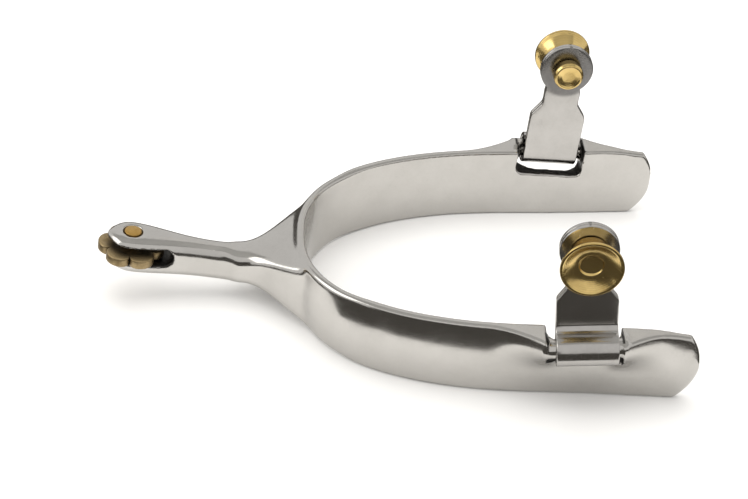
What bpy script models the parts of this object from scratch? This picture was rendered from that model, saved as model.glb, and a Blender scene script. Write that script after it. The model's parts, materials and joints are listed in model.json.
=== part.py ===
"""One spur of a pair: a cast heel band with its shank, a rowel on a pin, and two swinging strap buttons.

Lengths below are in millimetres and angles in degrees. make_object() turns the lengths into metres.
In the design frame the heel's inner face is at X = 0, the toe is towards +X, +Y is the wearer's left
and the band's lower edge lies on Z = 0. centre_on_origin() then moves everything by one shift in X.
"""
import math

import bmesh
import bpy
from mathutils import Matrix, Vector

MM = 0.001
GAP = 0.3
WELD = 0.001
SHARP_ANGLE = 32.0
ROUND_STEPS = 28
CUT_REACH = 14.0

# Heel band: the plan curve of its inner face, and its section.
HALF_WIDTH = 38.1
CURVE_LENGTH = 64.5
CURVE_POWER = 2.48
FLARE_SLOPE = 0.053
FLARE_BLEND = 8.0
BRANCH_LENGTH = 96.6
BAND_HEIGHT = 20.3
BAND_THICKNESS = 3.3
TOP_THICKNESS = 2.3
LOW_THICKNESS = 1.9
EDGE_ROUND = 0.35
EDGE_SHARE = 0.2
CROWN_POWER = 0.8
NORMAL_STEP = 1e-4
CURVE_STATIONS = 26
BRANCH_STATIONS = 30
TIP_STATIONS = 7
CROWN_STEPS = 9

# Tip of each branch: its rounded end and its falling top edge.
TIP_LOW_Z = 9.5
TIP_HIGH_Z = 12.5
TIP_LOW_RUN = 4.9
TIP_HIGH_RUN = 2.6
TIP_TOP_DROP = 1.4
TIP_DROP_RUN = 13.0

# Hinge: the bar, the slot behind it, and the lips that carry the bar's ends.
HINGE_X = 68.4
BAR_OUT = 6.2
BAR_Z = 17.9
BAR_RADIUS = 2.3
BAR_FLARE = 3.7
BAR_FLARE_HEEL_RUN = 2.7
BAR_FLARE_TOE_RUN = 1.5
BAR_RING_SHARES = (0.0, 0.12, 0.28, 0.5, 0.75, 1.0)
BAR_ROOT = 1.2
BAR_STEPS = 22
BAR_TILT = {"right": 4.2, "left": -4.4}
SLOT_HEEL_HALF = 9.8
SLOT_TOE_HALF = 8.5
SLOT_FLOOR_Z = 12.9
SLOT_CORNER = 1.6
SLOT_CORNER_STEPS = 4
SLOT_HEADROOM = 4.0
LIP_REACH = 9.0
LIP_FALL = 1.9
LIP_EDGE = 0.4
LIP_RUN = 15.0
LIP_INNER_RUN = 4.5
LIP_LOW_Z = 8.5
LIP_HIGH_Z = 17.6

# Hanger: a strap folded double round the bar, with an eye for the button.
STRAP_THICKNESS = 1.1
LOOP_RADIUS = 4.2
HANGER_WIDTH = 15.0
HANGER_SLIDE = {"right": -0.25, "left": -0.5}
SHOULDER_Z = 12.7
NECK_HALF_WIDTH = 4.75
NECK_LOW_Z = 16.4
NECK_HIGH_Z = 20.2
EYE_Z = 27.3
EYE_RADIUS = 7.1
POST_HOLE_RADIUS = 2.3
EYE_START_DROP = 1.7
EYE_STEPS = 14
FOLD_END_ANGLE = 98.0
FOLD_STEPS = 26
FOLD_CREASE = ((0.75, 0.1), (0.25, 0.5), (0.0, 1.2))
SHOULDER_EASE = (0.3, 0.6)
NECK_EASE = ((0.35, -0.5), (0.05, 0.4))
NECK_TOP_EASE = 0.1
STRAP_MARGIN = 2.0

# Button and the rivet knob that closes its post.
POST_RADIUS = 2.0
HEAD_RADIUS = 7.5
HEAD_OUT = 9.5
RIM_THICKNESS = 0.8
NECK_RADIUS = 4.5
DISH_DEPTH = 1.9
RECESS_RADIUS = 3.0
RECESS_DEPTH = 0.7
RECESS_TAPER = 0.5
NECK_FLARE_SHARES = (0.35, 0.65)
NECK_FLARE_STEPS = 8
DISH_STEPS = 6
RIM_EASE = 0.3
RIM_WIDTH = 0.5
BUTTON_STEPS = 40
KNOB_RADIUS = 4.0
KNOB_HEIGHT = 3.3
KNOB_DISH_RADIUS = 2.9
KNOB_DISH_DEPTH = 0.5
KNOB_BORE_DEPTH = 1.7
KNOB_DISH_FLOOR_SHARE = 0.6
KNOB_DISH_LIP = ((0.0, 0.15), (0.25, 0.0))
KNOB_FRONT_EASE = ((0.45, 0.1), (0.1, 0.5), (0.0, 1.0))
KNOB_BACK_EASE = ((0.1, 0.6), (0.5, 0.0))
KNOB_STEPS = 32

# Shank with its fork, and the rowel on its pin.
PIN_X = -45.0
PIN_RADIUS = 2.2
FORK_RADIUS = 5.9
FORK_Z = 14.2
FORK_TILT = 8.0
FORK_HEIGHT = 9.0
FORK_CROWN = 0.7
FORK_NOSE_DROP = 0.5
EAR_ANGLES = (86, 78, 68, 57, 46, 35, 24, 12, 0)
EAR_POWER = 1.6
NECK_STATIONS = 14
ROOT_STATIONS = 12
RISE_TERMS = (0.5, 1.15, -0.65)
SHANK_CORNER = 1.6
SHANK_CORNER_SHARE = 0.45
CORNER_STEPS = 3
FACE_STEPS = 6
WAIST_X = -22.0
WAIST_WIDTH = 6.8
WAIST_HEIGHT = 8.5
WAIST_POWER = 1.5
ROOT_X = -17.0
ROOT_WIDTH = 9.4
ROOT_HEIGHT = 8.0
ROOT_Z = 9.7
ROOT_WIDTH_POWER = 1.9
ROOT_HEIGHT_POWER = 2.0
WRAP_POWER = 2.0
SHANK_END_X = -1.0
SHANK_END_WIDTH = 40.0
SHANK_END_INSET = 0.5
FORK_SLOT_HEIGHT = 4.7
FORK_SLOT_REACH = 8.7
FORK_SLOT_RISE = 0.6
FORK_SLOT_STEPS = 8
FORK_SLOT_CUT = 10.0
ROWEL_RADIUS = 8.6
ROWEL_ROOT_RADIUS = 5.9
ROWEL_THICKNESS = 2.5
ROWEL_DROP = 0.1
ROWEL_LOBES = 6
LOBE_FULLNESS = 0.42
LOBE_STEPS = 16
ROWEL_BEVEL = 0.35
PIN_BEVEL = 0.2
PIN_SINK = 0.1

SIDES = {"right": -1, "left": 1}
SHIFT_X = -0.5 * (BRANCH_LENGTH + PIN_X - ROWEL_RADIUS * math.cos(math.radians(FORK_TILT)))

STEEL = {"color": (0.62, 0.61, 0.59, 1.0), "roughness": 0.18, "metallic": 1.0}
STRAP_STEEL = {"color": (0.50, 0.50, 0.49, 1.0), "roughness": 0.24, "metallic": 1.0}
BRASS = {"color": (0.72, 0.52, 0.20, 1.0), "roughness": 0.22, "metallic": 1.0}
ROWEL_BRASS = {"color": (0.52, 0.40, 0.20, 1.0), "roughness": 0.38, "metallic": 1.0}
PIN_COPPER = {"color": (0.60, 0.36, 0.14, 1.0), "roughness": 0.34, "metallic": 1.0}


def clear_scene():
    for obj in list(bpy.data.objects):
        bpy.data.objects.remove(obj, do_unlink=True)


def smooth(t):
    t = min(max(t, 0.0), 1.0)
    return t * t * (3.0 - 2.0 * t)


def mix(a, b, t):
    return a + (b - a) * t


def make_material(name, finish):
    material = bpy.data.materials.new(name)
    material.use_nodes = True
    shader = material.node_tree.nodes["Principled BSDF"]
    shader.inputs["Base Color"].default_value = finish["color"]
    shader.inputs["Roughness"].default_value = finish["roughness"]
    shader.inputs["Metallic"].default_value = finish["metallic"]
    return material


def make_object(name, points, faces, finish=None, matrix=None):
    """Make a closed mesh object from points in millimetres, placed by matrix (in metres)."""
    mesh = bpy.data.meshes.new(name)
    mesh.from_pydata([Vector(p) * MM for p in points], [], faces)
    bm = bmesh.new()
    bm.from_mesh(mesh)
    bmesh.ops.recalc_face_normals(bm, faces=bm.faces)
    bm.to_mesh(mesh)
    bm.free()
    obj = bpy.data.objects.new(name, mesh)
    bpy.context.scene.collection.objects.link(obj)
    if matrix is not None:
        obj.matrix_world = matrix
    if finish is None:
        obj.hide_render = True
        obj.display_type = 'WIRE'
    else:
        mesh.materials.append(make_material(name, finish))
        mesh.shade_smooth()
        mesh.set_sharp_from_angle(angle=math.radians(SHARP_ANGLE))
    return obj


def ring_faces(ring_count, ring_size, split_caps):
    """Quads between equal rings, and a cap at both ends.

    split_caps fills an end with quads between the ring's first and second half, so a bent end stays bent.
    """
    faces = []
    for i in range(ring_count - 1):
        for j in range(ring_size):
            a = i * ring_size + j
            b = i * ring_size + (j + 1) % ring_size
            faces.append((a, b, b + ring_size, a + ring_size))
    last = (ring_count - 1) * ring_size
    if split_caps:
        for j in range(ring_size // 2 - 1):
            quad = (j, j + 1, ring_size - 2 - j, ring_size - 1 - j)
            faces.append(quad)
            faces.append(tuple(last + k for k in reversed(quad)))
    else:
        faces.append(tuple(range(ring_size)))
        faces.append(tuple(last + j for j in reversed(range(ring_size))))
    return faces


def loft(name, rings, finish=None, matrix=None, split_caps=False):
    points = [p for ring in rings for p in ring]
    return make_object(name, points, ring_faces(len(rings), len(rings[0]), split_caps), finish, matrix)


def turn(name, profile, steps, finish=None, matrix=None):
    """Turn a profile of (radius, y) points about the Y axis. Its first and last radius are 0."""
    inner = profile[1:-1]
    rings = []
    for i in range(steps):
        angle = 2.0 * math.pi * i / steps
        rings.append([(r * math.cos(angle), y, r * math.sin(angle)) for r, y in inner])
    points = [p for ring in rings for p in ring]
    size = len(inner)
    faces = []
    for i in range(steps):
        for j in range(size - 1):
            a = i * size + j
            b = ((i + 1) % steps) * size + j
            faces.append((a, b, b + 1, a + 1))
    start = len(points)
    points.append((0.0, profile[0][1], 0.0))
    points.append((0.0, profile[-1][1], 0.0))
    for i in range(steps):
        a = i * size
        b = ((i + 1) % steps) * size
        faces.append((start, b, a))
        faces.append((start + 1, a + size - 1, b + size - 1))
    return make_object(name, points, faces, finish, matrix)


def combine(target, tool, operation):
    """Apply an exact Boolean to target, remove the tool, and weld the points it leaves almost together."""
    modifier = target.modifiers.new(operation.lower(), 'BOOLEAN')
    modifier.operation = operation
    modifier.solver = 'EXACT'
    modifier.object = tool
    bpy.context.view_layer.update()
    graph = bpy.context.evaluated_depsgraph_get()
    mesh = bpy.data.meshes.new_from_object(target.evaluated_get(graph))
    target.modifiers.remove(modifier)
    target.data = mesh
    bpy.data.objects.remove(tool, do_unlink=True)
    bm = bmesh.new()
    bm.from_mesh(mesh)
    bmesh.ops.remove_doubles(bm, verts=bm.verts, dist=WELD * MM)
    bmesh.ops.dissolve_degenerate(bm, edges=bm.edges, dist=WELD * MM)
    bm.to_mesh(mesh)
    bm.free()


# ---------------------------------------------------------------- heel band

def inner_point(side, q):
    """A point of the inner face's plan curve: q runs 0 to 1 round the heel and 1 to 2 along the branch."""
    if q <= 1.0:
        theta = q * math.pi / 2.0
        x = CURVE_LENGTH * (1.0 - math.cos(theta) ** (2.0 / CURVE_POWER))
        y = HALF_WIDTH * math.sin(theta) ** (2.0 / CURVE_POWER)
    else:
        x = mix(CURVE_LENGTH, BRANCH_LENGTH, q - 1.0)
        y = HALF_WIDTH
    past = x - CURVE_LENGTH
    if past > FLARE_BLEND:
        y += FLARE_SLOPE * past
    elif past > -FLARE_BLEND:
        y += FLARE_SLOPE * (past + FLARE_BLEND) ** 2 / (4.0 * FLARE_BLEND)
    return Vector((x, side * y, 0.0))


def heel_curve_x(y):
    """How far the inner face has curved towards the toe at y."""
    return CURVE_LENGTH * (1.0 - (1.0 - (abs(y) / HALF_WIDTH) ** CURVE_POWER) ** (1.0 / CURVE_POWER))


def outward(side, q):
    """The plan curve's outward normal at q."""
    low = max(q - NORMAL_STEP, 0.0)
    high = min(q + NORMAL_STEP, 2.0)
    along = inner_point(side, high) - inner_point(side, low)
    if q == 0.0:
        return Vector((-1.0, 0.0, 0.0))
    return Vector((-along.y, along.x, 0.0)).normalized() * side


def lip_share(x):
    """How far the outer face leans out to the bar, 0 to 1: most at the slot's two walls, none between."""
    past = max(HINGE_X - SLOT_HEEL_HALF - x, x - HINGE_X - SLOT_TOE_HALF)
    if past < 0.0:
        return 1.0 - smooth(-past / LIP_INNER_RUN)
    return max(0.0, 1.0 - past / LIP_RUN) ** LIP_FALL


def band_section(x, z_low, z_high):
    """The band's section as (out, z) points: flat inner face, crowned outer face, lip at the hinge."""
    lip = lip_share(x)
    top = mix(TOP_THICKNESS, LIP_REACH - LIP_EDGE, lip)
    edge = min(EDGE_ROUND, EDGE_SHARE * (z_high - z_low))
    points = [(0.0, z_low + edge), (0.0, z_high - edge), (edge, z_high), (top - edge, z_high)]
    for i in range(CROWN_STEPS + 1):
        v = i / CROWN_STEPS
        z = mix(z_high - edge, z_low + edge, v)
        crown = BAND_THICKNESS - 0.5 * (TOP_THICKNESS + LOW_THICKNESS)
        plain = mix(TOP_THICKNESS, LOW_THICKNESS, v) + crown * math.sin(math.pi * v) ** CROWN_POWER
        lean = lip * smooth((z - LIP_LOW_Z) / (LIP_HIGH_Z - LIP_LOW_Z))
        round_off = LIP_EDGE * lip * smooth((z - BAR_Z) / (BAND_HEIGHT - BAR_Z))
        points.append((mix(plain, LIP_REACH, lean) - round_off, z))
    points.append((LOW_THICKNESS - edge, z_low))
    points.append((edge, z_low))
    return points


def edge_heights(x):
    """The band's lower and upper edge at x, with the branch's rounded tip."""
    to_tip = BRANCH_LENGTH - x
    z_high = BAND_HEIGHT - TIP_TOP_DROP * smooth(1.0 - to_tip / TIP_DROP_RUN)
    z_low = 0.0
    if to_tip < TIP_HIGH_RUN:
        z_high = mix(TIP_HIGH_Z, z_high, math.sqrt(max(to_tip, 0.0) / TIP_HIGH_RUN))
    if to_tip < TIP_LOW_RUN:
        z_low = TIP_LOW_Z * (1.0 - math.sqrt(max(to_tip, 0.0) / TIP_LOW_RUN))
    return z_low, z_high


def branch_stations():
    curve = [i / CURVE_STATIONS for i in range(CURVE_STATIONS + 1)]
    tip_start = 1.0 - TIP_LOW_RUN / (BRANCH_LENGTH - CURVE_LENGTH)
    straight = [1.0 + tip_start * i / BRANCH_STATIONS for i in range(1, BRANCH_STATIONS + 1)]
    tip = [2.0 - (1.0 - tip_start) * (1.0 - i / TIP_STATIONS) ** 2 for i in range(1, TIP_STATIONS + 1)]
    return curve + straight + tip


def make_band():
    stations = branch_stations()
    order = [(-1, q) for q in reversed(stations[1:])] + [(1, q) for q in stations]
    rings = []
    for side, q in order:
        inner = inner_point(side, q)
        normal = outward(side, q)
        z_low, z_high = edge_heights(inner.x)
        ring = []
        for out, z in band_section(inner.x, z_low, z_high):
            ring.append((inner.x + normal.x * out, inner.y + normal.y * out, z))
        rings.append(ring)
    return loft("heel_band", rings, STEEL)


# ---------------------------------------------------------------- hinge

def hinge_q():
    return 1.0 + (HINGE_X - CURVE_LENGTH) / (BRANCH_LENGTH - CURVE_LENGTH)


def hinge_matrix(side_name):
    """The frame at a hinge bar's middle: X along the bar to the toe, Y outward, Z up. In metres."""
    side = SIDES[side_name]
    inner = inner_point(side, hinge_q())
    normal = outward(side, hinge_q())
    along = Vector((side * normal.y, -side * normal.x, 0.0))
    along = Matrix.Rotation(math.radians(-BAR_TILT[side_name]), 3, normal * side) @ along
    up = along.cross(normal) * side
    centre = (inner + normal * BAR_OUT + Vector((0.0, 0.0, BAR_Z))) * MM
    frame = Matrix((along, normal, up)).transposed().to_4x4()
    frame.translation = centre
    return frame


def hanger_matrix(side_name, height=0.0):
    """The hanger's frame: the hinge's, slid along the bar to this hanger's rest, and raised by height."""
    slide = Vector((HANGER_SLIDE[side_name], 0.0, height)) * MM
    return hinge_matrix(side_name) @ Matrix.Translation(slide)


def slot_cutter(frame):
    """A bar-shaped block with two rounded lower edges, open at the top and through the whole band."""
    floor = SLOT_FLOOR_Z - BAR_Z
    top = BAND_HEIGHT - BAR_Z + SLOT_HEADROOM
    corners = ((math.pi, SLOT_CORNER - SLOT_HEEL_HALF), (1.5 * math.pi, SLOT_TOE_HALF - SLOT_CORNER))
    outline = [(-SLOT_HEEL_HALF, top)]
    for first, middle in corners:
        for i in range(SLOT_CORNER_STEPS + 1):
            angle = first + math.pi / 2.0 * i / SLOT_CORNER_STEPS
            x = middle + SLOT_CORNER * math.cos(angle)
            z = floor + SLOT_CORNER * (1.0 + math.sin(angle))
            outline.append((x, z))
    outline.append((SLOT_TOE_HALF, top))
    rings = [[(x, y, z) for x, z in outline] for y in (-CUT_REACH, CUT_REACH)]
    return loft("slot_cutter", rings, None, frame)


def bar_flare(x):
    """How far the bar's slot side swells out near the wall at either end of the slot."""
    to_heel = (x + SLOT_HEEL_HALF) / BAR_FLARE_HEEL_RUN
    to_toe = (SLOT_TOE_HALF - x) / BAR_FLARE_TOE_RUN
    to_wall = min(max(min(to_heel, to_toe), 0.0), 1.0)
    return BAR_FLARE * (1.0 - to_wall) ** 2


def bar_solid(frame):
    """The hinge bar: a round rod whose ends flare into the lips, mostly on the side of the slot."""
    xs = [-SLOT_HEEL_HALF - BAR_ROOT]
    xs += [-SLOT_HEEL_HALF + BAR_FLARE_HEEL_RUN * t for t in BAR_RING_SHARES]
    xs += [SLOT_TOE_HALF - BAR_FLARE_TOE_RUN * t for t in reversed(BAR_RING_SHARES)]
    xs.append(SLOT_TOE_HALF + BAR_ROOT)
    rings = []
    for x in xs:
        ring = []
        for i in range(BAR_STEPS):
            angle = 2.0 * math.pi * i / BAR_STEPS
            toward_slot = max(-math.cos(angle), 0.0)
            out = BAR_RADIUS * math.cos(angle) - bar_flare(x) * toward_slot
            ring.append((x, out, BAR_RADIUS * math.sin(angle)))
        rings.append(ring)
    return loft("bar", rings, None, frame)


# ---------------------------------------------------------------- shank

def shank_middle(x):
    """The shank's middle height: it rises to the rear and meets the fork at the fork's own tilt."""
    if x > ROOT_X:
        return mix(ROOT_Z, BAND_HEIGHT / 2.0, (x - ROOT_X) / (SHANK_END_X - ROOT_X))
    t = (ROOT_X - x) / (ROOT_X - PIN_X)
    rise = sum(term * t ** (power + 1) for power, term in enumerate(RISE_TERMS))
    nose = max(PIN_X - x, 0.0) / FORK_RADIUS
    return mix(ROOT_Z, FORK_Z, rise) - FORK_NOSE_DROP * nose ** 2


def shank_size(x):
    """The shank's width and height at x."""
    if x < PIN_X:
        height = FORK_HEIGHT - 2.0 * FORK_NOSE_DROP * ((PIN_X - x) / FORK_RADIUS) ** 2
        return 2.0 * math.sqrt(max(FORK_RADIUS ** 2 - (x - PIN_X) ** 2, 0.0)), height
    if x < WAIST_X:
        t = smooth((WAIST_X - x) / (WAIST_X - PIN_X))
        return mix(WAIST_WIDTH, 2.0 * FORK_RADIUS, t ** EAR_POWER), mix(WAIST_HEIGHT, FORK_HEIGHT, t)
    if x < ROOT_X:
        t = smooth((x - WAIST_X) / (ROOT_X - WAIST_X)) ** WAIST_POWER
        return mix(WAIST_WIDTH, ROOT_WIDTH, t), mix(WAIST_HEIGHT, ROOT_HEIGHT, t)
    t = (x - ROOT_X) / (SHANK_END_X - ROOT_X)
    width = mix(ROOT_WIDTH, SHANK_END_WIDTH, t ** ROOT_WIDTH_POWER)
    height = mix(ROOT_HEIGHT, BAND_HEIGHT - 2.0 * SHANK_END_INSET, t ** ROOT_HEIGHT_POWER)
    return width, height


def shank_outline(half_w, half_h):
    """A rounded rectangle as (y, z) points: the upper half from +Y to -Y, then the lower half back."""
    corner = min(SHANK_CORNER, SHANK_CORNER_SHARE * half_w, SHANK_CORNER_SHARE * half_h)
    flat = half_w - corner
    steps = [i / CORNER_STEPS for i in range(CORNER_STEPS + 1)]
    outline = []
    for rise, quarter in ((1, 0.0), (-1, 2.0)):
        level = rise * (half_h - corner)
        for middle, start in ((rise * flat, quarter), (-rise * flat, quarter + 1.0)):
            for t in steps:
                angle = math.pi / 2.0 * (start + t)
                outline.append((middle + corner * math.cos(angle), level + corner * math.sin(angle)))
            if start == quarter:
                for i in range(1, FACE_STEPS):
                    outline.append((rise * flat * (1.0 - 2.0 * i / FACE_STEPS), rise * half_h))
    return outline


def shank_ring(x):
    """The shank's section at x, with crowned faces. Near its root it wraps round the heel and flattens."""
    width, height = shank_size(x)
    wrap = smooth((x - ROOT_X) / (SHANK_END_X - ROOT_X)) ** WRAP_POWER
    half_w = width / 2.0
    half_h = height / 2.0
    swell = FORK_CROWN * (1.0 - wrap) / half_h
    ring = []
    for y, z in shank_outline(half_w, half_h):
        crown = 1.0 + swell * (1.0 - (y / half_w) ** 2)
        ring.append((x + wrap * heel_curve_x(y), y, shank_middle(x) + z * crown))
    return ring


def make_shank():
    ear = [PIN_X - FORK_RADIUS * math.sin(math.radians(a)) for a in EAR_ANGLES]
    neck = [mix(PIN_X, ROOT_X, i / NECK_STATIONS) for i in range(1, NECK_STATIONS + 1)]
    root = [mix(ROOT_X, SHANK_END_X, i / ROOT_STATIONS) for i in range(1, ROOT_STATIONS + 1)]
    return loft("shank", [shank_ring(x) for x in ear + neck + root], split_caps=True)


def fork_frame(turned):
    """The frame at the pin's middle, tilted with the fork. For turned pieces its Y lies along the pin."""
    frame = Matrix.Rotation(math.radians(FORK_TILT), 4, 'Y')
    if turned:
        frame = frame @ Matrix.Rotation(math.pi / 2.0, 4, 'X')
    frame.translation = Vector((PIN_X, 0.0, FORK_Z)) * MM
    return frame


def fork_slot():
    """The slot for the rowel, which ends in a round hole across the shank."""
    radius = FORK_SLOT_HEIGHT / 2.0
    outline = [(-FORK_SLOT_CUT, FORK_SLOT_RISE - radius)]
    for i in range(FORK_SLOT_STEPS + 1):
        angle = math.pi * (i / FORK_SLOT_STEPS - 0.5)
        x = FORK_SLOT_REACH + radius * math.cos(angle)
        outline.append((x, FORK_SLOT_RISE + radius * math.sin(angle)))
    outline.append((-FORK_SLOT_CUT, FORK_SLOT_RISE + radius))
    rings = [[(x, y, z) for x, z in outline] for y in (-FORK_SLOT_CUT, FORK_SLOT_CUT)]
    return loft("fork_slot", rings, None, fork_frame(False))


def hole_cutter(name, radius, matrix):
    """A round cutter along the frame's Y axis, long enough to pass right through any piece."""
    profile = [(0.0, -CUT_REACH), (radius, -CUT_REACH), (radius, CUT_REACH), (0.0, CUT_REACH)]
    return turn(name, profile, ROUND_STEPS, None, matrix)


def make_heel_band():
    band = make_band()
    for side_name in SIDES:
        combine(band, slot_cutter(hinge_matrix(side_name)), 'DIFFERENCE')
    for side_name in SIDES:
        combine(band, bar_solid(hinge_matrix(side_name)), 'UNION')
    shank = make_shank()
    combine(shank, fork_slot(), 'DIFFERENCE')
    combine(shank, hole_cutter("pin_hole", PIN_RADIUS + GAP, fork_frame(True)), 'DIFFERENCE')
    combine(band, shank, 'UNION')
    return band


# ---------------------------------------------------------------- rowel and pin

def make_rowel():
    """A flat wheel of rounded lobes with narrow round notches, lying in the fork."""
    count = ROWEL_LOBES * LOBE_STEPS
    outline = []
    for i in range(count):
        angle = 2.0 * math.pi * i / count
        fullness = abs(math.cos(ROWEL_LOBES * angle / 2.0)) ** LOBE_FULLNESS
        radius = mix(ROWEL_ROOT_RADIUS, ROWEL_RADIUS, fullness)
        outline.append((-math.cos(angle), math.sin(angle), radius))
    half = ROWEL_THICKNESS / 2.0
    flat = half - ROWEL_BEVEL
    rings = []
    for z, inset in ((-half, ROWEL_BEVEL), (-flat, 0.0), (flat, 0.0), (half, ROWEL_BEVEL)):
        rings.append([(x * (r - inset), y * (r - inset), z - ROWEL_DROP) for x, y, r in outline])
    rowel = loft("rowel", rings, ROWEL_BRASS, fork_frame(False))
    combine(rowel, hole_cutter("rowel_bore", PIN_RADIUS + GAP, fork_frame(True)), 'DIFFERENCE')
    return rowel


def make_pin():
    """The rowel pin, filed flush with the fork above and below."""
    half = FORK_HEIGHT / 2.0 + FORK_CROWN - PIN_SINK
    face = PIN_RADIUS - PIN_BEVEL
    wall = half - PIN_BEVEL
    profile = [(0.0, -half), (face, -half), (PIN_RADIUS, -wall)]
    profile += [(PIN_RADIUS, wall), (face, half), (0.0, half)]
    return turn("rowel_pin", profile, ROUND_STEPS, PIN_COPPER, fork_frame(True))


# ---------------------------------------------------------------- hangers

def hanger_side_profile():
    """The folded strap seen along the bar, as (out, z) points about the bar's axis."""
    inner = -LOOP_RADIUS
    outer = inner + 2.0 * STRAP_THICKNESS
    top = EYE_Z + EYE_RADIUS + STRAP_MARGIN
    points = [(inner, top)]
    last = 2.0 * math.pi + math.radians(FOLD_END_ANGLE)
    for i in range(FOLD_STEPS + 1):
        angle = mix(math.pi, last, i / FOLD_STEPS)
        points.append((LOOP_RADIUS * math.cos(angle), LOOP_RADIUS * math.sin(angle)))
    points += [(outer + out, LOOP_RADIUS + z) for out, z in FOLD_CREASE]
    points.append((outer, top))
    return points


def hanger_outline():
    """The strap's face outline as (x, z) points: straight sides, cut shoulders, a neck and a round eye."""
    half = HANGER_WIDTH / 2.0
    right = [(half, -LOOP_RADIUS - STRAP_MARGIN), (half, SHOULDER_Z)]
    right.append((half - SHOULDER_EASE[0], SHOULDER_Z + SHOULDER_EASE[1]))
    right += [(NECK_HALF_WIDTH + x, NECK_LOW_Z + z) for x, z in NECK_EASE]
    right.append((NECK_HALF_WIDTH, 0.5 * (NECK_LOW_Z + NECK_HIGH_Z)))
    right.append((NECK_HALF_WIDTH + NECK_TOP_EASE, NECK_HIGH_Z))
    start = -math.asin((EYE_Z - NECK_HIGH_Z - EYE_START_DROP) / EYE_RADIUS)
    for i in range(EYE_STEPS + 1):
        angle = mix(start, math.pi / 2.0, i / EYE_STEPS)
        right.append((EYE_RADIUS * math.cos(angle), EYE_Z + EYE_RADIUS * math.sin(angle)))
    right[-1] = (0.0, EYE_Z + EYE_RADIUS)
    left = [(-x, z) for x, z in reversed(right[:-1])]
    return right + left


def make_hanger(side_name):
    """The folded strap: its side profile drawn out along the bar, bored for it and cut to outline."""
    frame = hanger_matrix(side_name)
    half = HANGER_WIDTH / 2.0 + STRAP_MARGIN
    rings = [[(x, y, z) for y, z in hanger_side_profile()] for x in (-half, half)]
    hanger = loft(side_name + "_hanger", rings, STRAP_STEEL, frame)
    along_bar = frame @ Matrix.Rotation(math.pi / 2.0, 4, 'Z')
    combine(hanger, hole_cutter("bar_bore", LOOP_RADIUS - STRAP_THICKNESS, along_bar), 'DIFFERENCE')
    outline = hanger_outline()
    rings = [[(x, y, z) for x, z in outline] for y in (-CUT_REACH, CUT_REACH)]
    combine(hanger, loft("blank", rings, None, frame), 'INTERSECT')
    eye = hanger_matrix(side_name, EYE_Z)
    combine(hanger, hole_cutter("eye_hole", POST_HOLE_RADIUS, eye), 'DIFFERENCE')
    return hanger


# ---------------------------------------------------------------- buttons

def make_button(side_name):
    """The strap button: dished head, flared neck, and the post that goes through the eye."""
    frame = hanger_matrix(side_name, EYE_Z)
    face = HEAD_OUT - LOOP_RADIUS
    seat = -LOOP_RADIUS + 2.0 * STRAP_THICKNESS + GAP
    post_end = -LOOP_RADIUS - KNOB_BORE_DEPTH
    profile = [(0.0, post_end), (POST_RADIUS, post_end), (POST_RADIUS, seat)]
    profile.append((NECK_RADIUS, seat))
    rim_back = face - RIM_THICKNESS
    for i in range(1, NECK_FLARE_STEPS + 1):
        t = i / NECK_FLARE_STEPS
        share = NECK_FLARE_SHARES[0] * t + NECK_FLARE_SHARES[1] * t ** 3
        profile.append((mix(NECK_RADIUS, HEAD_RADIUS, share), mix(seat, rim_back, t)))
    profile += [(HEAD_RADIUS, face - RIM_EASE), (HEAD_RADIUS - RIM_EASE, face)]
    dish_floor = face - DISH_DEPTH
    for i in range(1, DISH_STEPS + 1):
        t = i / DISH_STEPS
        radius = mix(HEAD_RADIUS - RIM_WIDTH, RECESS_RADIUS, t)
        profile.append((radius, mix(face, dish_floor, math.sin(t * math.pi / 2.0))))
    recess_floor = dish_floor - RECESS_DEPTH
    profile += [(RECESS_RADIUS - RECESS_TAPER, recess_floor), (0.0, recess_floor)]
    return turn(side_name + "_button", profile, BUTTON_STEPS, BRASS, frame)


def make_knob(side_name):
    """The rivet knob inside the hanger, with a blind bore that takes the post's end."""
    frame = hanger_matrix(side_name, EYE_Z)
    seat = -LOOP_RADIUS - GAP
    face = seat - KNOB_HEIGHT
    bore_floor = -LOOP_RADIUS - KNOB_BORE_DEPTH - GAP
    dish_floor = face + KNOB_DISH_DEPTH
    profile = [(0.0, dish_floor), (KNOB_DISH_FLOOR_SHARE * KNOB_DISH_RADIUS, dish_floor)]
    profile += [(KNOB_DISH_RADIUS + out, face + rise) for out, rise in KNOB_DISH_LIP]
    profile += [(KNOB_RADIUS - ease, face + rise) for ease, rise in KNOB_FRONT_EASE]
    profile += [(KNOB_RADIUS - ease, seat - drop) for ease, drop in KNOB_BACK_EASE]
    profile += [(POST_HOLE_RADIUS, seat), (POST_HOLE_RADIUS, bore_floor), (0.0, bore_floor)]
    return turn(side_name + "_rivet_knob", profile, KNOB_STEPS, BRASS, frame)


def centre_on_origin():
    for obj in bpy.data.objects:
        obj.matrix_world = Matrix.Translation((SHIFT_X * MM, 0.0, 0.0)) @ obj.matrix_world


def main():
    clear_scene()
    make_heel_band()
    make_rowel()
    make_pin()
    for side_name in SIDES:
        make_hanger(side_name)
        make_button(side_name)
        make_knob(side_name)
    centre_on_origin()


main()
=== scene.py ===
import json
import math

import bmesh
import bpy
from mathutils import Matrix, Vector, noise


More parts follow.
